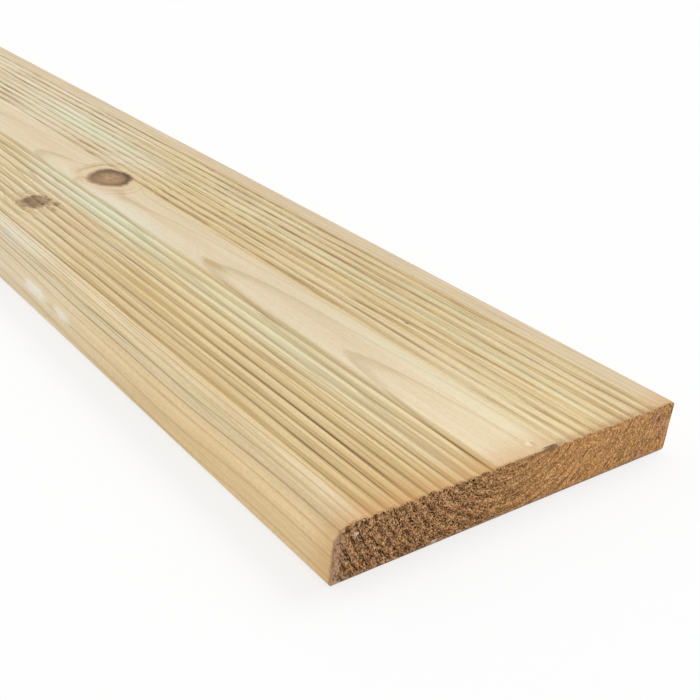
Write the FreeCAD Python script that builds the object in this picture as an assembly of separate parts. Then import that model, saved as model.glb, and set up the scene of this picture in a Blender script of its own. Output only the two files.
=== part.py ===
import FreeCAD, Part
import math
import os

# Decking board: one length of planed softwood, machined from a single sawn plank.
# Two bands of reeds run along the upper face, with a smooth strip between them and
# one along each edge. One upper arris is rounded over, the other arrises are only eased.
# Units are millimetres. X runs along the board, Y across its face and Z up.
# The origin is at the centre of the underside.

# The planed plank
length = 2400.0
width = 145.0
thickness = 19.0

# The arrises: the rounded one is at -Y, and the other upper one at +Y
round_arris_radius = 7.0
eased_arris_radius = 1.5
lower_arris_radius = 1.0

# The reeds: each groove is as deep as the cutter goes, and its root is as round as the cutter's nose
reed_pitch = 5.0
groove_depth = 0.8
groove_root_radius = 0.4

# The smooth strips: one midway between the bands, and the least flat left beside the rounded arris
middle_strip = 30.0
edge_flat = 2.5

# How many reeds go into each band, and where the bands lie
half_pitch = reed_pitch / 2
least_margin = round_arris_radius + edge_flat + half_pitch
reeds_per_band = int((width - middle_strip - 2 * least_margin) // (2 * reed_pitch))
band_width = reeds_per_band * reed_pitch
grooves_per_band = reeds_per_band + 1

# The two circles of the reeded outline: a convex crown that runs tangent into a concave root
centre_distance = (half_pitch ** 2 + groove_depth ** 2) / (2 * groove_depth)
crown_radius = centre_distance - groove_root_radius
root_tangent_y = groove_root_radius * half_pitch / centre_distance
root_tangent_z = groove_root_radius * (1 - (centre_distance - groove_depth) / centre_distance)


def section_point(y, z):
    """A point of the cross-section, on the plane of the far end."""
    return FreeCAD.Vector(-length / 2, y, z)


def on_circle(centre_y, centre_z, radius, degrees):
    """A point on a circle of the cross-section, with the angle from +Y towards +Z."""
    angle = math.radians(degrees)
    return section_point(centre_y + radius * math.cos(angle), centre_z + radius * math.sin(angle))


class Outline:
    """The cross-section's outline, drawn edge by edge from its first point."""

    def __init__(self, first):
        self.edges = []
        self.first = first
        self.here = first

    def line_to(self, point):
        if self.here.distanceToPoint(point) > 1e-6:
            self.edges.append(Part.LineSegment(self.here, point).toShape())
        self.here = point

    def arc_to(self, through, point):
        self.edges.append(Part.Arc(self.here, through, point).toShape())
        self.here = point

    def arris(self, centre_y, centre_z, radius, first_degrees):
        """A quarter turn that follows a straight side, from its first angle to 90 degrees on."""
        self.line_to(on_circle(centre_y, centre_z, radius, first_degrees))
        self.arc_to(
            on_circle(centre_y, centre_z, radius, first_degrees + 45),
            on_circle(centre_y, centre_z, radius, first_degrees + 90),
        )

    def face(self):
        self.line_to(self.first)
        return Part.Face(Part.Wire(self.edges))


def groove_centres(band_centre):
    """The grooves of one band, in the order in which the outline meets them, from +Y to -Y."""
    first = band_centre + band_width / 2
    return [first - index * reed_pitch for index in range(grooves_per_band)]


def draw_band(outline, band_centre):
    """Half a crown down from the flat, then a root and a crown for each groove, and up to the flat."""
    centres = groove_centres(band_centre)
    crown_z = thickness - crown_radius
    tangent_z = thickness - groove_depth + root_tangent_z
    half_angle = math.degrees(math.asin(half_pitch / centre_distance))

    outline.line_to(section_point(centres[0] + half_pitch, thickness))
    outline.arc_to(
        on_circle(centres[0] + half_pitch, crown_z, crown_radius, 90 + half_angle / 2),
        section_point(centres[0] + root_tangent_y, tangent_z),
    )
    for centre in centres:
        outline.arc_to(
            section_point(centre, thickness - groove_depth),
            section_point(centre - root_tangent_y, tangent_z),
        )
        crown_y = centre - half_pitch
        if centre > centres[-1]:
            outline.arc_to(
                section_point(crown_y, thickness),
                section_point(crown_y - half_pitch + root_tangent_y, tangent_z),
            )
        else:
            outline.arc_to(
                on_circle(crown_y, crown_z, crown_radius, 90 - half_angle / 2),
                section_point(crown_y, thickness),
            )


def board_section():
    """The whole cross-section, counter-clockwise from the lower arris at -Y."""
    half_width = width / 2
    band_offset = (middle_strip + band_width) / 2
    inner = half_width - lower_arris_radius
    outline = Outline(section_point(-inner, 0))
    outline.arris(inner, lower_arris_radius, lower_arris_radius, -90)
    outline.arris(half_width - eased_arris_radius, thickness - eased_arris_radius, eased_arris_radius, 0)
    draw_band(outline, band_offset)
    draw_band(outline, -band_offset)
    outline.arris(-half_width + round_arris_radius, thickness - round_arris_radius, round_arris_radius, 90)
    outline.arris(-inner, lower_arris_radius, lower_arris_radius, 180)
    return outline.face()


def deck_board():
    """The board: its section run out from the far end to the near one."""
    return board_section().extrude(FreeCAD.Vector(length, 0, 0))


os.makedirs("parts", exist_ok=True)
board = deck_board()
board.exportStep("parts/deck_board.step")
box = board.BoundBox
print(f"deck_board: {box.XLength:.1f} x {box.YLength:.1f} x {box.ZLength:.1f} mm, {len(board.Faces)} faces,"
      f" valid {board.isValid()}, {board.Volume / 1e6:.3f} litres")
print(f"each band has {reeds_per_band} reeds and {grooves_per_band} grooves over {band_width:.1f} mm")
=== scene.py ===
# %% [markdown]
# A deck board is one length of planed softwood. Everything that makes it look like wood comes from
# the tree that it was cut out of: growth rings round a pith that lies above the board, branches that
# show as knots, and long fibres that flow past them. The lesson builds the board from its section,
# tears its sawn ends, and colours it with one formula for the tree.
# %% Load the frame
import math

import bmesh
import bpy
import numpy as np
from mathutils import Matrix, Vector, noise


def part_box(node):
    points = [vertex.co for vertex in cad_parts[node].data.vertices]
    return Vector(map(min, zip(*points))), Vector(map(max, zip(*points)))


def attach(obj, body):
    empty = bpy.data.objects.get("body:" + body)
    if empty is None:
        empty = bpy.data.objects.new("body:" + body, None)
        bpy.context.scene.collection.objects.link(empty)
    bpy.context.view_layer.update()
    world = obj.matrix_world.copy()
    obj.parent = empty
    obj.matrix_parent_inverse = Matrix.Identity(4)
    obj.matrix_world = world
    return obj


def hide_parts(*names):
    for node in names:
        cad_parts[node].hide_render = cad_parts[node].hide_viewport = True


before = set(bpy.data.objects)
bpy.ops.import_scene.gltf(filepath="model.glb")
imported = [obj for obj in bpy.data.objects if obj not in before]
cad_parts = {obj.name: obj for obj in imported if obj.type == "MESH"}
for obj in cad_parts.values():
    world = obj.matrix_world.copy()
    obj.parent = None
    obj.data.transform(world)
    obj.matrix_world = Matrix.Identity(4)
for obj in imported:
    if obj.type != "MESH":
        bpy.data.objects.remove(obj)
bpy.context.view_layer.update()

low, high = (Vector(corner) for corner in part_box("deck_board"))
length, width, thickness = high - low
print(f"the board measures {length:.3f} x {width:.3f} x {thickness:.3f} m")

# %% [markdown]
# The camera stands at the near end, a little to the left of the board, and looks down on it by 26
# degrees. It leans by six degrees, so the picture's uprights lean too. A lens and a place worked out
# from the photograph's corners are better than a guess by eye.
# %% Camera
camera_lens = 53.22                              # mm, on a sensor 36 mm wide
camera_place = Vector((length / 2 + 0.1686, -0.2154, 0.1783))
camera_heading = math.radians(139.97)            # from +X towards +Y
camera_dip = math.radians(25.91)
camera_lean = math.radians(5.88)


def add_camera():
    """Creates the camera, looking along its heading and dip, and makes it the scene's."""
    data = bpy.data.cameras.new("camera")
    data.lens = camera_lens
    data.sensor_width = 36.0
    camera = bpy.data.objects.new("camera", data)
    bpy.context.collection.objects.link(camera)
    flat = math.cos(camera_dip)
    look = Vector((flat * math.cos(camera_heading), flat * math.sin(camera_heading), -math.sin(camera_dip)))
    turn = look.to_track_quat("-Z", "Y").to_matrix().to_4x4() @ Matrix.Rotation(camera_lean, 4, "Z")
    camera.matrix_world = Matrix.Translation(camera_place) @ turn
    bpy.context.scene.camera = camera
    return camera


camera = add_camera()
print("camera at", tuple(round(value, 3) for value in camera.location))

# %% [markdown]
# The light is a studio's: a bright dome all round, a large soft lamp high on the right of the board,
# and a weak one in front. The dome alone would leave the reeds flat. The main lamp shines across them,
# so that each crown has a bright flank and a dark one. Suns with a wide angle light all of a long
# board alike, where area lamps would fade along it. The camera sees dome and floor as near white,
# which adds no light to the board and leaves its shadow, only softer.
# %% Light, world and floor
dome_strength = 0.71
lamp_softness = math.radians(30)
# each lamp: name, strength, height, and heading from +X towards +Y, of where its light comes from
lamps = (("main_lamp", 1.1, 45, 102), ("front_lamp", 0.4, 28, -42))
floor_shade = 0.95
floor_white = 0.70                                # share of the floor that the camera sees as plain white
floor_size = 14.0
floor_gap = 0.0003


def seen_rays(nodes, links):
    """One for rays from the camera, from gloss and through glass, and nought for rays that light the board."""
    path = nodes.new("ShaderNodeLightPath")
    rays = path.outputs["Is Camera Ray"]
    for name in ("Is Glossy Ray", "Is Transmission Ray"):
        either_ray = nodes.new("ShaderNodeMath")
        either_ray.operation = "MAXIMUM"
        links.new(rays, either_ray.inputs[0])
        links.new(path.outputs[name], either_ray.inputs[1])
        rays = either_ray.outputs[0]
    return rays


def add_world():
    """A dome of even light, seen as white."""
    world = bpy.data.worlds.new("studio")
    bpy.context.scene.world = world
    world.use_nodes = True
    nodes, links = world.node_tree.nodes, world.node_tree.links
    dome = nodes["Background"]
    dome.inputs["Color"].default_value = (1.0, 1.0, 1.0, 1.0)
    dome.inputs["Strength"].default_value = dome_strength
    seen = nodes.new("ShaderNodeBackground")
    seen.inputs["Color"].default_value = (1.0, 1.0, 1.0, 1.0)
    mix = nodes.new("ShaderNodeMixShader")
    links.new(seen_rays(nodes, links), mix.inputs[0])
    links.new(dome.outputs[0], mix.inputs[1])
    links.new(seen.outputs[0], mix.inputs[2])
    links.new(mix.outputs[0], nodes["World Output"].inputs["Surface"])


def add_lamp(name, strength, height, heading):
    """A soft sun that shines from a height and a heading, in degrees."""
    lamp = bpy.data.lights.new(name, "SUN")
    lamp.energy = strength
    lamp.angle = lamp_softness
    holder = bpy.data.objects.new(name, lamp)
    bpy.context.collection.objects.link(holder)
    height, heading = math.radians(height), math.radians(heading)
    flat = math.cos(height)
    towards = Vector((flat * math.cos(heading), flat * math.sin(heading), math.sin(height)))
    holder.matrix_world = towards.to_track_quat("Z", "Y").to_matrix().to_4x4()


def add_floor():
    """A pale matt floor just under the board."""
    mesh = bpy.data.meshes.new("floor")
    bm = bmesh.new()
    bmesh.ops.create_grid(bm, x_segments=1, y_segments=1, size=floor_size / 2)
    bmesh.ops.translate(bm, verts=bm.verts, vec=(0, 0, low.z - floor_gap))
    bm.to_mesh(mesh)
    bm.free()
    floor = bpy.data.objects.new("floor", mesh)
    bpy.context.collection.objects.link(floor)
    material = bpy.data.materials.new("pale_floor")
    material.use_nodes = True
    nodes, links = material.node_tree.nodes, material.node_tree.links
    matt = nodes["Principled BSDF"]
    matt.inputs["Base Color"].default_value = (floor_shade, floor_shade, floor_shade, 1.0)
    matt.inputs["Roughness"].default_value = 0.9
    matt.inputs["Specular IOR Level"].default_value = 0.0
    white = nodes.new("ShaderNodeEmission")
    white.inputs["Strength"].default_value = 1.0
    share = nodes.new("ShaderNodeMath")
    share.operation = "MULTIPLY"
    links.new(seen_rays(nodes, links), share.inputs[0])
    share.inputs[1].default_value = floor_white
    mix = nodes.new("ShaderNodeMixShader")
    links.new(share.outputs[0], mix.inputs[0])
    links.new(matt.outputs[0], mix.inputs[1])
    links.new(white.outputs[0], mix.inputs[2])
    links.new(mix.outputs[0], nodes["Material Output"].inputs["Surface"])
    mesh.materials.append(material)
    return floor


bpy.context.scene.view_settings.view_transform = "Standard"
add_world()
for lamp in lamps:
    add_lamp(*lamp)
floor = add_floor()
print(f"a dome, {len(lamps)} lamps and the floor are set")

# %% [markdown]
# The board's section has two bands of reeds. Each groove was cut by a round-nosed cutter: a convex
# crown runs tangent into a concave root. The same two circles as in the board's solid give how far
# the face drops at any place across it. The sizes are in millimetres here, as a machinist reads them.
# %% The machined section
MM = 0.001
reed_pitch = 5.0
reeds_per_band = 9
middle_strip = 30.0
groove_depth = 0.8
root_radius = 0.4
round_arris = 7.0
eased_arris = 1.5
lower_arris = 1.0
plank_length, plank_width, plank_thickness = length / MM, width / MM, thickness / MM

half_pitch = reed_pitch / 2
band_width = reeds_per_band * reed_pitch
band_middle = (middle_strip + band_width) / 2
circle_gap = (half_pitch ** 2 + groove_depth ** 2) / (2 * groove_depth)
crown_radius = circle_gap - root_radius
root_reach = root_radius * half_pitch / circle_gap


def groove_drop(across):
    """How far the face lies below the board's top at a place across it, in mm."""
    from_band = abs(abs(across) - band_middle)
    if from_band >= band_width / 2 + half_pitch:
        return 0.0
    inside = from_band - band_width / 2
    from_groove = abs((inside + half_pitch) % reed_pitch - half_pitch)
    if from_groove < root_reach:
        return groove_depth - root_radius + math.sqrt(root_radius ** 2 - from_groove ** 2)
    return crown_radius - math.sqrt(crown_radius ** 2 - (half_pitch - from_groove) ** 2)


drops = [groove_drop(band_middle - band_width / 2 + step * 0.5) for step in range(6)]
print("from a groove to a crown the face rises through", [round(drop, 2) for drop in drops], "mm")

# %% [markdown]
# The board could be a box with its patterns painted on, but the reeds catch the light, so they have
# to be in the mesh. A unit square stood upright becomes the section: its corners are rounded with a
# vertex bevel, and its top edge is cut at every column and dropped into the grooves. The columns
# are closest together in the roots, where the face turns most.
# %% The section as one face
column_steps = (0.0, 0.2, 0.5, 1.0, 1.7, 2.5, 3.3, 4.0, 4.5, 4.8)     # mm past each groove
flat_step = 2.5                                   # mm between columns where the face is flat
arris_segments = 10
small_segments = 4
snap = 1e-6                                       # m, how near counts as on a plane


def drawn_square(bm):
    """A unit square from create_grid, stood up at the near end at the board's width and thickness."""
    bmesh.ops.create_grid(bm, x_segments=1, y_segments=1, size=0.5)
    upright = Matrix(((0, 0, 1, 0), (1, 0, 0, 0), (0, 1, 0, 0.5), (0, 0, 0, 1)))
    sized = Matrix.Diagonal((1, width, thickness, 1))
    bmesh.ops.transform(bm, matrix=Matrix.Translation((high.x, 0, low.z)) @ sized @ upright, verts=bm.verts)


def round_corner(bm, side, upper, radius, segments):
    """Rounds the corner of the section that lies furthest to one side, at the top or the bottom."""
    corner = max(bm.verts, key=lambda vert: side * vert.co.y + (vert.co.z if upper else -vert.co.z))
    bmesh.ops.bevel(bm, geom=[corner], offset=radius * MM, offset_type="OFFSET", segments=segments,
                    profile=0.5, affect="VERTICES", material=-1)


def on_top(vert):
    return vert.co.z > high.z - snap


def cut_top(bm, across):
    """Cuts the section's top edge at a place across the board, in mm, and leaves the face whole."""
    edges = [edge for edge in bm.edges if all(on_top(vert) for vert in edge.verts)]
    ends = {vert for edge in edges for vert in edge.verts}
    bmesh.ops.bisect_plane(bm, geom=edges + list(ends), dist=snap / 10,
                           plane_co=(0, across * MM, 0), plane_no=(0, 1, 0))


def column_places():
    """Where the upper face is cut across, in mm."""
    reach = band_width / 2 + half_pitch
    places = []
    for band in (-band_middle, band_middle):
        grooves = [band - band_width / 2 + reed_pitch * (index - 1) for index in range(reeds_per_band + 2)]
        candidates = [groove + step for groove in grooves for step in column_steps]
        places += [place for place in candidates if abs(place - band) <= reach + snap]
    flats = np.arange(-plank_width / 2 + round_arris + 1, plank_width / 2 - eased_arris, flat_step)
    return sorted(places + [flat for flat in flats if groove_drop(flat) == 0.0])


def draw_section(bm):
    """The board's section at the near end, as one face."""
    drawn_square(bm)
    round_corner(bm, -1, True, round_arris, arris_segments)
    round_corner(bm, 1, True, eased_arris, small_segments)
    round_corner(bm, -1, False, lower_arris, small_segments)
    round_corner(bm, 1, False, lower_arris, small_segments)
    for place in column_places():
        cut_top(bm, place)
    for vert in [vert for vert in bm.verts if on_top(vert)]:
        vert.co.z -= groove_drop(vert.co.y / MM) * MM
    return bm.faces[:][0]


plank = bmesh.new()
near_end = draw_section(plank)
print(f"the section has {len(near_end.verts)} corners")

# %% [markdown]
# A saw tears softwood: the pale early wood of each ring crushes and pulls out, and the hard late wood
# stands. Bump alone would leave the end's outline straight, so each end gets a fine net of faces to
# shape. An inset keeps a rim as wide as the splintered edge, and planes then cut the face inside it
# into cells. This comes before the long faces are made, because the operators are quick on a small mesh.
# %% A net of cells on each sawn end
rim_width = 0.35                                  # mm
near_cell = 0.33
far_cell = 1.1


def slice_up(bm, faces, axis, places):
    """Cuts flat faces with planes at places in mm along one axis, and sets aside what each plane passes."""
    normal = Vector([1.0 if index == axis else 0.0 for index in range(3)])
    passed, ahead = [], list(faces)
    for place in places:
        edges = {edge for face in ahead for edge in face.edges}
        verts = {vert for face in ahead for vert in face.verts}
        cut = bmesh.ops.bisect_plane(bm, geom=ahead + list(edges) + list(verts), dist=snap / 10,
                                     plane_co=normal * place * MM, plane_no=normal)["geom"]
        parts = [part for part in cut if isinstance(part, bmesh.types.BMFace)]
        passed += [part for part in parts if part.calc_center_median()[axis] < place * MM]
        ahead = [part for part in parts if part.calc_center_median()[axis] > place * MM]
    return passed + ahead


def net_end(bm, face, cell):
    """Insets an end face and cuts the inside into cells. Returns the faces of rim and net."""
    rim = bmesh.ops.inset_region(bm, faces=[face], thickness=rim_width * MM,
                                 use_boundary=True, use_even_offset=True)["faces"]
    strips = slice_up(bm, [face], 2, np.arange(cell, plank_thickness, cell))
    half = plank_width / 2
    return rim + slice_up(bm, strips, 1, np.arange(cell - half, half, cell))


copy = bmesh.ops.duplicate(plank, geom=[near_end] + near_end.edges[:] + near_end.verts[:])["geom"]
far_end = next(part for part in copy if isinstance(part, bmesh.types.BMFace))
bmesh.ops.translate(plank, verts=far_end.verts, vec=(-length, 0, 0))
end_faces = net_end(plank, near_end, near_cell) + net_end(plank, far_end, far_cell)
print(f"the two ends have {len(end_faces)} faces")

# %% [markdown]
# The long faces are the outline of the near end, run out row by row to the far one. The rows are
# close together at the sawn end and round the knots, where the camera sees relief, and wide apart
# where nothing changes. The last row lands on the far end's outline, and welding the two closes the
# board.
# %% The long faces
row_runs = ((1.5, 0.5), (5, 1), (13, 2), (245, 8), (330, 2.5), (520, 9), (plank_length, 22))  # mm: until, step


def row_places():
    """How far each row lies from the near end, in mm."""
    places = [0.0]
    for until, step in row_runs:
        count = max(1, round((until - places[-1]) / step))
        places += list(np.linspace(places[-1], until, count + 1)[1:])
    return places


def run_out(bm):
    """Extrudes the near end's outline to the far end and welds it there."""
    outline = [edge for edge in bm.edges if edge.is_boundary and edge.verts[0].co.x > 0]
    rows = row_places()
    for before, after in zip(rows, rows[1:]):
        made = bmesh.ops.extrude_edge_only(bm, edges=outline)["geom"]
        moved = [part for part in made if isinstance(part, bmesh.types.BMVert)]
        bmesh.ops.translate(bm, verts=moved, vec=((before - after) * MM, 0, 0))
        outline = [part for part in made if isinstance(part, bmesh.types.BMEdge)]
    ends = {vert for edge in bm.edges if edge.is_boundary for vert in edge.verts}
    bmesh.ops.remove_doubles(bm, verts=list(ends), dist=snap * 10)
    bmesh.ops.recalc_face_normals(bm, faces=bm.faces)


run_out(plank)
open_edges = sum(len(edge.link_faces) != 2 for edge in plank.edges)
print(f"the plank has {len(plank.faces)} faces in {len(row_places())} rows, and {open_edges} open edges")

# %% [markdown]
# The rings, the fibres and the knots could be three unrelated textures, but then a knot would sit on
# the grain like a sticker. Here one formula stands for the tree, and it is written once: given arrays
# it works on the mesh, and given shader values it adds Math nodes to a material. The class below is
# what lets the same line do both.
# %% Numbers that are arrays or shader values


class Value:
    """A number that a shader works out. Arithmetic on it adds Math nodes to its tree."""

    def __init__(self, tree, socket):
        self.tree = tree
        self.socket = socket

    def __add__(self, other):
        return math_node("ADD", self, other)

    def __radd__(self, other):
        return math_node("ADD", other, self)

    def __sub__(self, other):
        return math_node("SUBTRACT", self, other)

    def __rsub__(self, other):
        return math_node("SUBTRACT", other, self)

    def __mul__(self, other):
        return math_node("MULTIPLY", self, other)

    def __rmul__(self, other):
        return math_node("MULTIPLY", other, self)

    def __truediv__(self, other):
        return math_node("DIVIDE", self, other)

    def __neg__(self):
        return math_node("MULTIPLY", self, -1.0)


def feed(tree, socket, item):
    """Puts a Value, another socket or a plain number or colour into a node's input."""
    if isinstance(item, Value):
        tree.links.new(item.socket, socket)
    elif isinstance(item, bpy.types.NodeSocket):
        tree.links.new(item, socket)
    else:
        socket.default_value = item


def math_node(operation, *items):
    tree = next(item.tree for item in items if isinstance(item, Value))
    node = tree.nodes.new("ShaderNodeMath")
    node.operation = operation
    for socket, item in zip(node.inputs, items):
        feed(tree, socket, item)
    return Value(tree, node.outputs[0])


def either(operation, on_arrays):
    """A function that adds a Math node for shader values and calls numpy for everything else."""
    def apply(*items):
        if any(isinstance(item, Value) for item in items):
            return math_node(operation, *items)
        return on_arrays(*items)
    return apply


sine = either("SINE", np.sin)
square_root = either("SQRT", np.sqrt)
exponential = either("EXPONENT", np.exp)
arc_tangent = either("ARCTAN2", np.arctan2)
lesser = either("MINIMUM", np.minimum)
greater = either("MAXIMUM", np.maximum)
fraction = either("FRACT", lambda number: number - np.floor(number))


def bell(distance, reach):
    """One at distance nought, fading to nothing past the reach."""
    share = distance / reach
    return exponential(-(share * share))


print("a bell at half its reach is", round(float(bell(0.5, 1.0)), 2))

# %% [markdown]
# In this board the pith lies above the upper face, so the rings sag across the sawn end like a smile,
# and run up the smooth strip as pointed arches where the pith climbs away from the face. Branches
# start at the pith and widen outwards, so each knot shows on both faces, larger below. Softwood
# branches come in whorls every foot or so. The first two are where the photograph has them, and the
# others follow in the length that it doesn't show.
# %% The tree: pith, rings and branches
first_ring_step = 4.6                             # mm from ring to ring close to the pith
ring_crowding = 920.0                             # mm2, rings get closer outwards as this gets smaller
first_ring = -0.124                               # shifts all rings, as a share of one
# each branch: mm from the near end, mm across, radius on the upper face, lean along the board
branches = (
    (292.5, 5.0, 11.0, 12.0),
    (272.0, -41.5, 7.0, 9.0),
    (693.0, 31.0, 8.0, 10.0),
    (1079.0, -14.0, 11.0, 14.0),
    (1094.0, 47.0, 5.5, 9.0),
    (1468.0, 22.0, 8.5, 10.0),
    (1483.0, -48.0, 6.0, 9.0),
    (1871.0, -21.0, 10.0, 12.0),
    (2213.0, 12.0, 7.5, 8.0),
)
knot_length = 1.28                                # a knot's length along the board by its width
knot_skew = 0.16                                  # mm that it slants across the board per mm along it
knot_swell = 3.4                                  # mm by which a ring bulges out along a branch
knot_pull = 0.85                                  # share by which fibres turn aside round a branch
knot_reach = 1.6                                  # radii over which they do


def pith_across(along):
    return -6.5 + 0.8 * sine(along / 95.0 + 1.9)


def pith_up(along):
    return plank_thickness + 30.0 + 16.7 * sine((along - 213.0) / 428.0)


def from_branch(along, across, up, branch):
    """How many of its own radii a place lies from a branch's axis, and how far aside, in mm."""
    place, side, radius, lean = branch
    start_across, start_up = pith_across(place), pith_up(place)
    depth = greater((start_up - up) / (start_up - plank_thickness), 0.1)
    off_along = along - place + lean - lean * depth
    off_across = across - start_across - (side - start_across) * depth - knot_skew * off_along
    wobble = 1.0 + 0.03 * sine(off_along / 3.1 + side) + 0.03 * sine(off_across / 2.7 + place)
    stretched = off_along / knot_length
    away = square_root(stretched * stretched + off_across * off_across) * wobble
    return away / (depth * radius), off_across


def tree(along, across, up):
    """The rings between the pith and a place, where its fibre lies across, and the nearest knot's radii."""
    flow, swell, nearest = across, 0.0, 50.0
    for branch in branches:
        close, aside = from_branch(along, across, up, branch)
        pull = bell(close, knot_reach)
        flow = flow - aside * pull * knot_pull
        swell = swell + pull * knot_swell
        nearest = lesser(nearest, close)
    aside = flow - pith_across(along)
    above = up - pith_up(along)
    radius = square_root(aside * aside + above * above) - swell
    radius = radius + 0.12 * sine(along / 13.0 + across / 5.0) + 0.25 * sine(radius * 0.8 - 1.0)
    outer = lesser(greater(-across / 30.0 - 1.2, 0.0), 1.0)
    radius = radius - 2.4 * outer * (1.0 - bell(along, 70.0))
    return radius / first_ring_step + radius * radius / ring_crowding + first_ring, flow, nearest


rings_at_middle, _, _ = tree(0.0, 0.0, plank_thickness)
rings_at_edge, _, _ = tree(0.0, plank_width / 2, plank_thickness)
print(f"{rings_at_edge - rings_at_middle:.1f} rings cross half of the near end's upper edge")

# %% [markdown]
# With the formula for the tree in hand, the sawn end can be torn along its rings. Every vertex of the
# net moves back into the board: least in late wood, more in early wood, and deepest in the pits of
# the left third, where fibres have pulled out. The saw has crumbled the arris of the reeds as well,
# so the rows next to the end sink a little.
# %% Relief of the sawn ends
saw_skin = 0.08                                   # mm, the least that the saw took off everywhere
early_tear = 0.20
fuzz_tear = 0.16
pit_tear = 0.75
rim_tear = 0.4
worn_reach = 1.7                                  # mm from the end
worn_depth = 0.3
# chips out of the near upper arris: mm across, half width, how far back along the face
chips = ((11.0, 4.2, 0.7), (1.5, 2.0, 0.45), (-21.0, 2.5, 0.5), (-38.0, 3.0, 0.6), (29.0, 2.0, 0.4))


def rough(place, size, seed=0.0):
    """Noise between nought and one, with features of about a size in mm."""
    return 0.5 + 0.5 * noise.noise(Vector((place[0] + seed, place[1] + 3 * seed, place[2] - seed)) / size)


def torn(along, across, up, rings):
    """How deep the saw has torn a place of an end, in mm, and how much of that is a pit."""
    turn = 60.0 * math.atan2(across - pith_across(along), pith_up(along) - up)
    place = (rings * 4.4, turn / 2.0, along)
    early = 1.0 - rings % 1.0
    left = min(1.0, max(0.0, (18.0 - across) / 55.0))
    pits = rough(place, 0.5, 7.0) * 0.75 + rough(place, 1.4, 3.0) * 0.25
    pit = min(1.0, max(0.0, (pits - 0.63 + 0.08 * left * (early + 0.3)) * 11.0)) * (0.25 + 0.75 * left)
    return saw_skin + early_tear * early + fuzz_tear * rough(place, 0.45) + pit_tear * pit, pit


def chipped(across):
    """How far the near upper arris is broken back at a place across it, in mm."""
    ragged = 0.6 + 0.8 * rough((across, 0.0, 0.0), 0.9, 2.0)
    return ragged * sum(depth * bell(across - place, half) for place, half, depth in chips)


def tear_ends(bm, faces):
    """Moves the ends' vertices back into the board, and notes in a layer how much of each is a pit."""
    pit_layer = bm.verts.layers.float.new("torn")
    for vert in {vert for face in faces for vert in face.verts}:
        side = 1 if vert.co.x > 0 else -1
        along = plank_length / 2 - vert.co.x / MM
        rings, _, _ = tree(along, vert.co.y / MM, vert.co.z / MM)
        depth, pit = torn(along, vert.co.y / MM, vert.co.z / MM, rings)
        on_rim = any(face not in faces for face in vert.link_faces)
        depth = rim_tear * depth if on_rim else depth
        if side == 1:
            depth += chipped(vert.co.y / MM) * max(0.0, 1.0 - (high.z - vert.co.z) / MM / 1.6)
        vert.co.x -= side * depth * MM
        vert[pit_layer] = pit


def wear_arris(bm, ends):
    """Sinks the reeds' last millimetre or two before the near end, and pushes it back at the chips."""
    for vert in bm.verts:
        gap = (length / 2 - vert.co.x) / MM
        if gap < worn_reach and vert.co.z > high.z - 1.2 * groove_depth * MM:
            worn = (1 - gap / worn_reach) ** 2
            vert.co.z -= worn_depth * worn * rough((vert.co.y / MM, gap, 0.0), 1.6, 5.0) * MM
        if gap < 2.5 and vert.co.z > high.z - 1.2 * groove_depth * MM and vert not in ends:
            vert.co.x -= chipped(vert.co.y / MM) * (1 - gap / 2.5) * MM


tear_ends(plank, set(end_faces))
wear_arris(plank, {vert for face in end_faces for vert in face.verts})
deepest = min(vert.co.x for face in end_faces for vert in face.verts if vert.co.x > 0)
print(f"the near end is torn by up to {(length / 2 - deepest) / MM:.2f} mm")

# %% [markdown]
# The bmesh becomes the board's mesh. Everything is shaded smooth, so the arcs of the reeds and
# arrises read as round, apart from the edge between the long faces and the sawn ends. A vertex
# attribute holds how deep each place lies in its groove.
# %% The board's object


def finish_board(bm):
    """Turns the bmesh into the object that stands for the CAD board."""
    groove_layer = bm.verts.layers.float.new("groove")
    for vert in bm.verts:
        if vert.co.z > high.z - 1.5 * groove_depth * MM:
            vert[groove_layer] = groove_drop(vert.co.y / MM) / groove_depth
    for face in bm.faces:
        face.smooth = True
        face.material_index = 0
    for face in end_faces:
        face.material_index = 1
    for edge in bm.edges:
        edge.smooth = len({face.material_index for face in edge.link_faces}) == 1
    mesh = bpy.data.meshes.new("plank")
    bm.to_mesh(mesh)
    bm.free()
    board = bpy.data.objects.new("plank", mesh)
    bpy.context.collection.objects.link(board)
    return board


board = finish_board(plank)
print(f"{board.name} has {sum(len(face.vertices) - 2 for face in board.data.polygons)} triangles")

# %% [markdown]
# The materials are stacks of thin glazes: a pale base, and over it one tint after another, each with
# its own amount. A few helpers keep that readable. Colours are written from 0 to 255, as a picture's
# colours are read, and places are in millimetres from the near end, across and up.
# %% Helpers for the materials


def paint(red, green, blue):
    """A picture's colour, from 0 to 255, made linear for a shader."""
    parts = [part / 255 for part in (red, green, blue)]
    linear = [part / 12.92 if part <= 0.04045 else ((part + 0.055) / 1.055) ** 2.4 for part in parts]
    return (*linear, 1.0)


def speckle(tree_, place, size, detail=2.0, roughness=0.5):
    """Noise from nought to one with features of about a size, at a place given by three values."""
    vector = tree_.nodes.new("ShaderNodeCombineXYZ")
    for socket, item in zip(vector.inputs, place):
        feed(tree_, socket, item)
    node = tree_.nodes.new("ShaderNodeTexNoise")
    node.inputs["Scale"].default_value = 1.0 / size
    node.inputs["Detail"].default_value = detail
    node.inputs["Roughness"].default_value = roughness
    tree_.links.new(vector.outputs[0], node.inputs["Vector"])
    return Value(tree_, node.outputs[0])


def between(value, low_end, high_end):
    """Nought below the low end, one above the high end, and a smooth slope in between."""
    node = value.tree.nodes.new("ShaderNodeMapRange")
    node.interpolation_type = "SMOOTHSTEP"
    feed(value.tree, node.inputs["Value"], value)
    node.inputs["From Min"].default_value = low_end
    node.inputs["From Max"].default_value = high_end
    return Value(value.tree, node.outputs[0])


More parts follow.
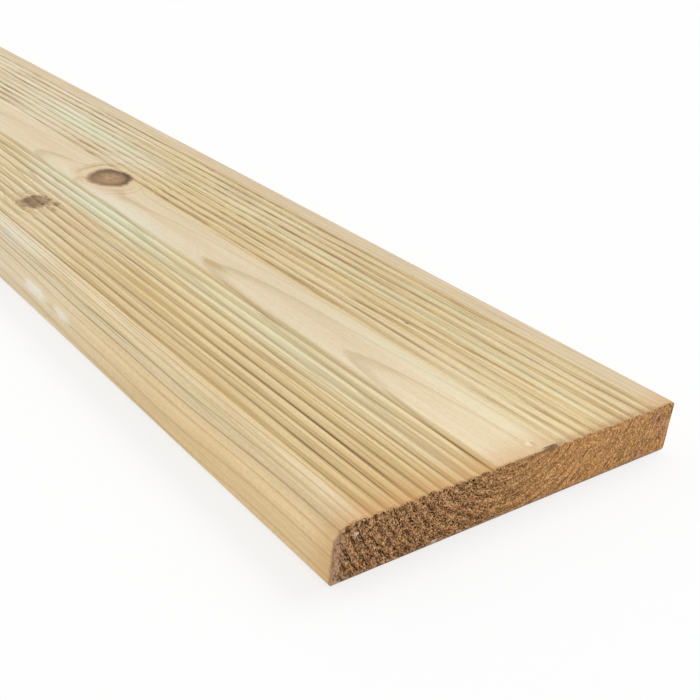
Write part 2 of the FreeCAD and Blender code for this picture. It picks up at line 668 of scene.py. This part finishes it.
def glaze(colour, amount, tinted):
    """Mixes a colour over another by an amount."""
    node = amount.tree.nodes.new("ShaderNodeMix")
    node.data_type = "RGBA"
    feed(amount.tree, node.inputs[0], amount)
    feed(amount.tree, node.inputs[6], colour)
    feed(amount.tree, node.inputs[7], tinted)
    return node.outputs[2]


def dim(colour, factor):
    """Makes a colour lighter or darker by a factor."""
    node = factor.tree.nodes.new("ShaderNodeVectorMath")
    node.operation = "SCALE"
    feed(factor.tree, node.inputs[0], colour)
    feed(factor.tree, node.inputs[3], factor)
    return node.outputs[0]


def new_wood(name, roughness, gloss):
    """A material, its node tree and its shader, with a matt surface."""
    material = bpy.data.materials.new(name)
    material.use_nodes = True
    shader = material.node_tree.nodes["Principled BSDF"]
    shader.inputs["Roughness"].default_value = roughness
    shader.inputs["Specular IOR Level"].default_value = gloss
    return material, material.node_tree, shader


def wood_place(tree_):
    """How far a place lies from the near end, across and up, in mm."""
    coordinates = tree_.nodes.new("ShaderNodeTexCoord")
    split = tree_.nodes.new("ShaderNodeSeparateXYZ")
    tree_.links.new(coordinates.outputs["Object"], split.inputs[0])
    x, y, z = (Value(tree_, socket) / MM for socket in split.outputs)
    return plank_length / 2 - x, y, z


def layer_value(tree_, name):
    """A vertex attribute of the mesh."""
    node = tree_.nodes.new("ShaderNodeAttribute")
    node.attribute_name = name
    return Value(tree_, node.outputs["Fac"])


def relief(shader, height, metres):
    """Gives a shader the bumps of a height."""
    node = height.tree.nodes.new("ShaderNodeBump")
    node.inputs["Distance"].default_value = metres
    feed(height.tree, node.inputs["Height"], height)
    height.tree.links.new(node.outputs[0], shader.inputs["Normal"])


def late_wood(rings):
    """How much a place is late wood: rising through each ring, and ending with it."""
    share = fraction(rings)
    return between(share, 0.72, 0.93) * (1.0 - between(share, 0.95, 1.0))


print("white is", paint(255, 255, 255))

# %% [markdown]
# Planed wood is pale, and warmer in the machined bands. The rings darken it as thin lines, which the
# face cuts into arches on the smooth strip. Fibres streak it along the flow that the tree's formula
# bends round its knots. Each crown is painted darker on the flank that faces away from the main lamp,
# as painted shade, and a painted highlight lies on its lit flank beside each groove root. A dark line
# just past each root is partly dirt and partly painted shade: along all of the left band, but only as
# dashes in the right one.
# %% Planed wood
strip_paint = paint(234, 216, 182)
band_paint = paint(234, 212, 160)
edge_paint = paint(232, 212, 172)
side_paint = paint(242, 214, 164)
late_paint = paint(172, 138, 88)
streak_paint = paint(198, 166, 112)
groove_dirt_and_shade_paint = paint(112, 84, 46)
flank_shade_paint = paint(178, 148, 96)
flank_highlight_paint = paint(246, 228, 184)
yellow_paint = paint(228, 200, 134)
brown_paint = paint(206, 172, 130)
hair_paint = paint(146, 110, 60)
pale_paint = paint(246, 238, 214)
green_paint = paint(222, 234, 204)
pink_paint = paint(209, 191, 168)
warm_paint = paint(206, 154, 92)
stain_paint = paint(170, 120, 70)
knot_paint = paint(152, 116, 78)
umber_paint = paint(112, 86, 46)
heart_paint = paint(214, 180, 134)
rim_paint = paint(82, 56, 28)
bark_paint = paint(104, 78, 42)
halo_paint = paint(224, 190, 142)
glow_paint = paint(255, 230, 162)
milk_paint = paint(236, 240, 226)
ochre_paint = paint(214, 178, 116)

# where the timber treatment has left green: mm along, mm across, half length, half width, amount
green_stains = (
    (120.0, -22.0, 75.0, 8.0, 0.34),
    (245.0, -20.0, 70.0, 7.0, 0.62),
    (310.0, -16.0, 30.0, 7.0, 0.50),
    (385.0, 36.5, 70.0, 8.0, 0.55),
    (60.0, 9.0, 60.0, 4.0, 0.22),
    (100.0, 55.0, 30.0, 3.0, 0.20),
)

# broad tints of the upper face: mm along, mm across, half length, half width, colour, amount
face_tints = (
    (60.0, -21.0, 95.0, 9.0, pale_paint, 0.44),
    (10.0, -22.0, 45.0, 9.0, glow_paint, 0.50),
    (10.0, -48.0, 20.0, 14.0, ochre_paint, 0.28),
    (10.0, 36.0, 45.0, 26.0, glow_paint, 0.45),
    (250.0, -42.0, 60.0, 22.0, pale_paint, 0.36),
    (320.0, 28.0, 26.0, 18.0, pale_paint, 0.52),
    (225.0, 52.0, 75.0, 9.0, pale_paint, 0.28),
    (245.0, -14.0, 48.0, 7.0, milk_paint, 0.48),
    (236.0, -66.0, 34.0, 5.0, milk_paint, 0.60),
    (200.0, 19.0, 40.0, 5.0, ochre_paint, 0.22),
    (290.0, 10.0, 70.0, 6.0, ochre_paint, 0.14),
    (140.0, 11.5, 110.0, 4.0, ochre_paint, 0.12),
    (75.0, -57.5, 35.0, 4.0, ochre_paint, 0.24),
    (95.0, 62.0, 50.0, 6.0, ochre_paint, 0.26),
    (246.0, -36.0, 24.0, 10.0, warm_paint, 0.26),
    (16.0, -25.0, 26.0, 4.5, pale_paint, 0.34),
    (20.0, 63.5, 34.0, 3.5, ochre_paint, 0.26),
    (240.0, 63.5, 44.0, 3.5, ochre_paint, 0.34),
    (321.0, 27.0, 22.0, 11.0, pale_paint, 0.40),
    (276.0, -26.0, 22.0, 16.0, pale_paint, 0.42),
)

# marks on the long faces: mm along, across and up, half of its size along, across and up, colour, amount
face_marks = (
    (92.0, 29.6, 18.4, 1.2, 0.9, 3.0, paint(84, 60, 34), 1.0),
    (5.2, 5.6, 19.0, 1.5, 1.5, 2.0, paint(246, 230, 196), 0.7),
    # a painted shadow of the chip above, at its lower right
    (4.6, 6.8, 19.0, 1.7, 0.7, 2.0, paint(196, 168, 122), 0.7),
    (198.0, -72.5, 9.5, 12.0, 3.0, 2.8, paint(248, 248, 232), 0.75),
    (173.0, -72.5, 9.0, 8.0, 3.0, 2.5, paint(248, 248, 232), 0.65),
    (265.6, -34.5, 19.0, 3.2, 2.2, 4.0, paint(126, 94, 50), 0.65),
    (259.0, -38.5, 19.0, 2.6, 1.2, 4.0, paint(150, 114, 64), 0.55),
    (0.3, 11.0, 19.0, 0.6, 4.2, 3.0, paint(146, 116, 82), 0.8),
    # painted shade along the upper edge of the chip out of the near arris
    (1.1, 11.0, 19.0, 0.4, 4.4, 3.0, paint(92, 72, 48), 0.9),
    (172.0, -6.8, 19.0, 10.0, 2.2, 3.0, paint(190, 164, 110), 0.75),
)


def planed_wood():
    """The long faces of the board."""
    material, nodes, shader = new_wood("planed_wood", 0.62, 0.3)
    along, across, up = wood_place(nodes)
    rings, flow, nearest = tree(along, across, up)
    aside = flow - across
    on_top = between(up, plank_thickness - 2.0, plank_thickness - 1.0)
    outward = greater(across, -across)
    strip = (1.0 - between(outward, 11.5, 13.5)) * on_top
    in_band = between(outward, 11.5, 13.5) * (1.0 - between(outward, 61.0, 63.0)) * on_top
    right = between(across, -4.0, 4.0)
    flow = across + aside * (1.0 - 0.6 * in_band)
    streaks = speckle(nodes, (along / 70.0, flow, up), 0.8, 4.0, 0.65)
    fuzz = speckle(nodes, (along / 2.0, across, up), 0.75, 3.0, 0.7)
    drift = speckle(nodes, (along / 14.0, flow, up), 7.0, 2.0)

    share = fraction(across / reed_pitch + 0.5)
    groove = across / reed_pitch + 0.5 - share
    from_root = (share - 0.5) * reed_pitch
    in_groove = between(layer_value(nodes, "groove"), 0.08, 0.3)
    quicker = along / 9.0 + greater(along - 200.0, 0.0) / 18.0
    lengthwise = speckle(nodes, (quicker, groove * 3.1, 0.5), 2.2, 3.0)
    each = speckle(nodes, (along / 80.0, groove * 5.3, 3.5), 1.7, 1.0)
    tone = speckle(nodes, (along / 150.0, across, 8.0), 1.6, 3.0, 0.6)
    hairs = speckle(nodes, (along / 130.0, flow, up + 5.0), 0.42, 2.0)

    colour = glaze(side_paint, between(up, 14.5, 18.0), edge_paint)
    colour = glaze(colour, (1.0 - between(outward, 60.0, 66.0)) * on_top, strip_paint)
    colour = glaze(colour, in_band, band_paint)
    colour = glaze(colour, in_band * between(each, 0.5, 0.75) * 0.6, edge_paint)
    colour = glaze(colour, in_band * between(tone, 0.50, 0.68) * 0.60, yellow_paint)
    colour = glaze(colour, in_band * (1.0 - between(tone, 0.32, 0.48)) * 0.55, brown_paint)
    later = between(along - 100.0 * right, 170.0, 320.0)
    lighter = (0.40 - 0.30 * between(along, 30.0, 90.0)) * right + (0.36 + 0.24 * right) * later
    colour = glaze(colour, in_band * lighter, pale_paint)
    for place, side, reach, spread, tint, amount in face_tints:
        spot = bell((along - place) / reach, 1.0) * bell((across - side) / spread, 1.0) * on_top
        colour = glaze(colour, spot * amount, tint)
    far_edge = between(up - outward, -57.0, -48.0)
    far_edge = (1.0 - far_edge) * between(along, 60.0, 260.0) * (1.0 - between(across, 0.0, 5.0))
    colour = glaze(colour, far_edge * 0.60, pale_paint)
    colour = glaze(colour, between(drift, 0.35, 0.75) * 0.25, streak_paint)
    dark_ring = late_wood(rings + (streaks - 0.5) * 0.16)
    ring_amount = 0.30 + 0.16 * on_top - strip * (0.20 + 0.20 * right) + 0.44 * bell(up - 16.6, 1.8)
    ring_amount = ring_amount * (1.0 - 0.7 * in_band * bell(nearest, 2.4))
    ring_amount = ring_amount * (1.0 - 0.7 * bell(across - 18.0, 5.0) * (1.0 - between(along, 100.0, 180.0)))
    colour = glaze(colour, dark_ring * ring_amount, late_paint)
    thin_line = bell(fraction(rings) - 0.97, 0.03) * strip * right * (1.0 - bell(nearest, 2.8))
    colour = glaze(colour, thin_line * 0.30, late_paint)
    colour = glaze(colour, between(streaks, 0.42, 0.72) * (0.30 + 0.20 * on_top - 0.30 * strip), streak_paint)
    colour = glaze(colour, between(hairs, 0.53, 0.66) * (0.10 + 0.32 * on_top - 0.38 * strip), hair_paint)
    colour = dim(colour, (0.83 + 0.34 * fuzz) * (1.0 - (0.02 + 0.05 * strip) * between(along, 40.0, 120.0)))

    green = speckle(nodes, (along / 40.0, flow, up), 9.0, 1.0) - 0.62
    green = greater(green * 1.5, 0.0)
    for place, side, reach, spread, amount in green_stains:
        green = greater(green, bell((along - place) / reach, 1.0) * bell((flow - side) / spread, 1.0) * amount)
    colour = glaze(colour, green * (0.4 + 1.1 * streaks), green_paint)
    colour = glaze(colour, between(across, 60.0, 66.0) * 0.38, pink_paint)

    shift = 0.55 + 0.25 * right
    slope = 1.0 - fraction((across - shift) / reed_pitch)
    from_line = (fraction((across - shift) / reed_pitch + 0.5) - 0.5) * reed_pitch
    dashes = between(lengthwise, 0.42, 0.66) * (0.30 + 0.16 * bell((along - 255.0) / 80.0, 1.0))
    dashes = dashes * (1.0 - 0.85 * bell((along - 321.0) / 24.0, 1.0))
    steady = 0.30 - 0.20 * between(along, 20.0, 110.0)
    steady = steady + between(each, 0.36, 0.66) * (0.88 - 0.46 * between(along, 20.0, 110.0))
    steady = steady + 0.5 * (lengthwise - 0.5)
    dashes = dashes + 0.13 + 0.12 * between(along, 90.0, 180.0)
    patch = (steady + (dashes - steady) * right) * (1.0 - 0.6 * green)
    patch = patch * (1.0 - 0.6 * bell(across - 17.0, 4.0) * (1.0 - between(along, 60.0, 130.0)))
    patch = patch * (1.0 - 0.6 * bell(across + 15.0, 2.0) * between(along, 0.0, 40.0))
    patch = patch * (1.0 - 0.7 * bell(across + 25.0, 2.6) * bell(along, 40.0))
    uneven = 0.3 + 1.4 * speckle(nodes, (along / 40.0, groove * 4.7, 9.5), 1.9, 2.0)
    # painted shade: each crown is darker on the flank that faces away from the main lamp, most just past each
    # groove
    colour = glaze(colour, in_band * slope * slope * uneven * (0.46 - 0.27 * right), flank_shade_paint)
    # a dark line just past each groove root, partly dirt and partly painted shade, broken into dashes in the
    # right band
    colour = glaze(colour, in_groove * bell(from_line, 0.24 + 0.14 * right) * patch, groove_dirt_and_shade_paint)
    # painted highlight: a pale line on the lit flank 0.7 mm short of each groove root
    colour = glaze(colour, in_groove * bell(from_root + 0.7, 0.4) * uneven * 0.30, flank_highlight_paint)
    bled = bell(along, 8.0) * (0.48 - 0.10 * in_band - 0.18 * right * in_band)
    bled = bled + bell(along, 26.0) * 0.20 * in_band * (1.0 - right)
    colour = glaze(colour, bled, warm_paint)
    crumbs = speckle(nodes, (along, across, up), 0.6, 3.0, 0.8)
    bleed = between(crumbs + 0.35 * bell(along, 1.0 + 2.6 * right * in_band), 0.60, 0.86) * bell(along, 7.0)
    colour = glaze(colour, bleed * (0.75 - 0.25 * right), stain_paint)

    ragged = speckle(nodes, (along / 1.5, across, up), 2.4, 4.0, 0.65)
    broken = 1.0 - between(across, -30.0, -18.0)
    edge = nearest + (ragged - 0.5) * (0.26 + 1.5 * broken)
    knot = (1.0 - between((edge - 0.97) / (0.17 + 0.25 * broken), -1.0, 1.0)) * (1.0 - 0.12 * broken)
    # side: how far a place lies towards the flank of a knot where its rim is darker, partly resin and partly
    # painted shade
    side = between(-aside, -3.0, 6.0)
    colour = glaze(colour, (1.0 - between(nearest, 1.0, 1.9)) * 0.35, halo_paint)
    rays = (bell(nearest - 1.40, 0.09) + bell(nearest - 1.75, 0.09)) * bell(aside, 3.2)
    colour = glaze(colour, rays * (0.1 + 0.4 * ragged), late_paint)
    arc = bell(nearest - 1.48, 0.11) * bell((along - 316.0) / 9.0, 1.0)
    colour = glaze(colour, arc * (0.2 + 0.8 * ragged), late_paint)
    blotch = speckle(nodes, (along / 1.4, across, up + 3.0), 3.2, 3.0, 0.6)
    heart = (1.0 - between(edge, 0.05, 0.80)) * (1.9 * blotch - 0.50)
    inside = glaze(knot_paint, between(along - 0.5 * aside, 286.0, 302.0) * 0.75, umber_paint)
    inside = glaze(inside, heart * (0.80 - 0.5 * broken), heart_paint)
    inside = glaze(inside, late_wood(nearest * 3.2 + (ragged - 0.5) * 2.4) * 0.18, rim_paint)
    inside = glaze(inside, between(blotch, 0.44, 0.56) * broken * 0.92, bark_paint)
    # a dark line in each groove root across the knot, partly dirt and partly painted shade
    inside = glaze(inside, in_groove * bell(from_root, 0.7) * 0.75, rim_paint)
    colour = glaze(colour, knot, inside)
    # the knot's dark rim: resin all round, with painted shade added on one side
    colour = glaze(colour, bell(edge - 0.86, 0.17) * (0.22 + 0.72 * side) * (1.0 - 0.8 * broken), rim_paint)
    for place, side, height, reach, spread, tall, tint, amount in face_marks:
        spot = bell((along - place) / reach, 1.0) * bell((across - side) / spread, 1.0)
        spot = spot * bell((up - height) / tall, 1.0) * (0.2 + 1.6 * ragged)
        colour = glaze(colour, between(spot, 0.15, 0.85) * amount, tint)
    nodes.links.new(colour, shader.inputs["Base Color"])
    relief(shader, fuzz * 0.10 + streaks * 0.10, MM)
    return material


# %% [markdown]
# Sawn wood is end grain: the treatment has soaked into it and turned it brown, and every torn fibre
# has a lit side and a dark side. The rings show as dark arcs, and the pits of the left third are
# painted almost black, as painted shade in the hollows. Bright flecks are painted highlights on the
# ends of fibres that stand out and catch the light.
# %% Sawn wood
left_paint = paint(224, 168, 114)
right_paint = paint(223, 169, 108)
arc_paint = paint(104, 58, 18)
brown_tear_paint = paint(108, 60, 22)
shade_paint = paint(74, 38, 8)
fleck_paint = paint(252, 224, 184)
pit_shade_paint = paint(48, 22, 4)
skin_paint = paint(214, 178, 146)
strand_paint = paint(236, 196, 142)
rosy_paint = paint(196, 138, 112)
olive_paint = paint(150, 122, 78)

# marks on the near end: mm across, mm up, half width, half height, colour
end_marks = (
    (-65.0, 14.6, 1.3, 0.8, paint(255, 232, 206)),
    (-34.5, 0.8, 1.4, 0.7, paint(255, 236, 212)),
    (65.5, 14.0, 0.55, 1.7, paint(96, 52, 30)),
    (10.5, 18.3, 4.4, 0.8, paint(142, 114, 86)),
)


def sawn_wood():
    """The two ends of the board."""
    material, nodes, shader = new_wood("sawn_wood", 0.9, 0.05)
    along, across, up = wood_place(nodes)
    rings, _, _ = tree(along, across, up)
    turn = arc_tangent(across - pith_across(along), pith_up(along) - up) * 60.0
    warm = between(across, -48.0, 0.0)
    fibre = speckle(nodes, (rings * 4.4, turn / 2.0, along / 2.0), 0.36, 3.0, 0.75)
    grains = speckle(nodes, (across, up + 6.0, along), 0.8, 3.0, 0.8)
    grit = speckle(nodes, (rings * 4.4 + 20.0, turn / 2.0, along), 0.44, 3.0, 0.75)
    flecks = speckle(nodes, (up + 9.0, across, along), 0.55, 1.0)
    drift = speckle(nodes, (across, up, along), 9.0, 1.0)
    colour = glaze(left_paint, warm, right_paint)
    end_right = between(across, 25.0, 60.0)
    colour = glaze(colour, between(drift, 0.52, 0.68) * (0.15 + 0.35 * end_right), olive_paint)
    colour = glaze(colour, (1.0 - between(drift, 0.34, 0.48)) * (0.10 + 0.40 * end_right), rosy_paint)
    lines = speckle(nodes, (rings * 4.4 + 60.0, turn / 11.0, along), 0.62, 1.0)
    middle = bell(across + 8.0, 32.0)
    arcs = late_wood(rings + (fibre - 0.5) * 0.5) * (0.38 + 0.16 * middle)
    arcs = arcs + between(lines, 0.53, 0.62) * (0.20 + 0.50 * middle)
    colour = glaze(colour, arcs * (0.4 + 1.2 * grit), arc_paint)
    colour = glaze(colour, (1.0 - between(fibre, 0.28, 0.55)) * (0.90 - 0.48 * warm), shade_paint)
    colour = glaze(colour, (1.0 - between(grains, 0.34, 0.50)) * (0.10 + 0.26 * warm), shade_paint)
    colour = dim(colour, greater(4.8 * grit - 1.34 + 0.12 * middle, 0.14))
    colour = glaze(colour, (1.0 - between(grit, 0.34, 0.56)) * 0.55, brown_tear_paint)
    colour = glaze(colour, between(grit, 0.56, 0.74) * 0.42, fleck_paint)
    colour = glaze(colour, between(flecks, 0.64, 0.72) * 0.8, fleck_paint)
    strands = speckle(nodes, (across, up / 1.8, along + 4.0), 0.42, 2.0)
    in_left = between(-across, 12.0, 16.0)
    in_right = between(across, 13.0, 18.0)
    frayed = 0.45 + (strands - 0.5) * 2.6 + (up - plank_thickness) / (0.8 + 1.6 * in_left)
    frayed = between(frayed, 0.10, 0.50) * (0.90 * in_left + 0.60 * in_right) * (0.4 + 1.2 * grit)
    colour = glaze(colour, frayed, strand_paint)
    # painted shade in the torn pits, nearly black
    colour = glaze(colour, layer_value(nodes, "torn") * 0.95, pit_shade_paint)
    on_left = between(-across, -25.0, 25.0)
    threads = speckle(nodes, (rings * 4.4 + 40.0, turn / 3.5, along), 0.4, 1.0)
    colour = glaze(colour, between(threads, 0.56, 0.68) * on_left * 0.40, fleck_paint)
    # small dots as dark as the pits: painted shade of pits that have no relief
    dots = speckle(nodes, (rings * 4.4 + 20.0, turn / 2.4, along), 0.5, 1.0) + 0.06 - 0.20 * fraction(rings)
    colour = glaze(colour, between(dots, 0.50, 0.60) * on_left * 0.88, pit_shade_paint)
    rim = bell(up, 0.8) + between(-across, 67.5, 71.5)
    colour = glaze(colour, rim * (0.3 + 0.6 * grit), skin_paint)
    for side, height, wide, tall, tint in end_marks:
        off = bell((across - side) / wide, 1.0) * bell((up - height) / tall, 1.0)
        colour = glaze(colour, between(off * (2.4 * grit - 0.2), 0.25, 0.9) * 0.85, tint)
    nodes.links.new(colour, shader.inputs["Base Color"])
    relief(shader, fibre * 0.35 + grit * 0.35, MM)
    return material


for material in (planed_wood(), sawn_wood()):
    board.data.materials.append(material)
    print(material.name, "has", len(material.node_tree.nodes), "nodes")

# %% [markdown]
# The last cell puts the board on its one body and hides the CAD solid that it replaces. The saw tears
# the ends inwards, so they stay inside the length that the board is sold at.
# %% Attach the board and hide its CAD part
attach(board, "root")
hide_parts("deck_board")
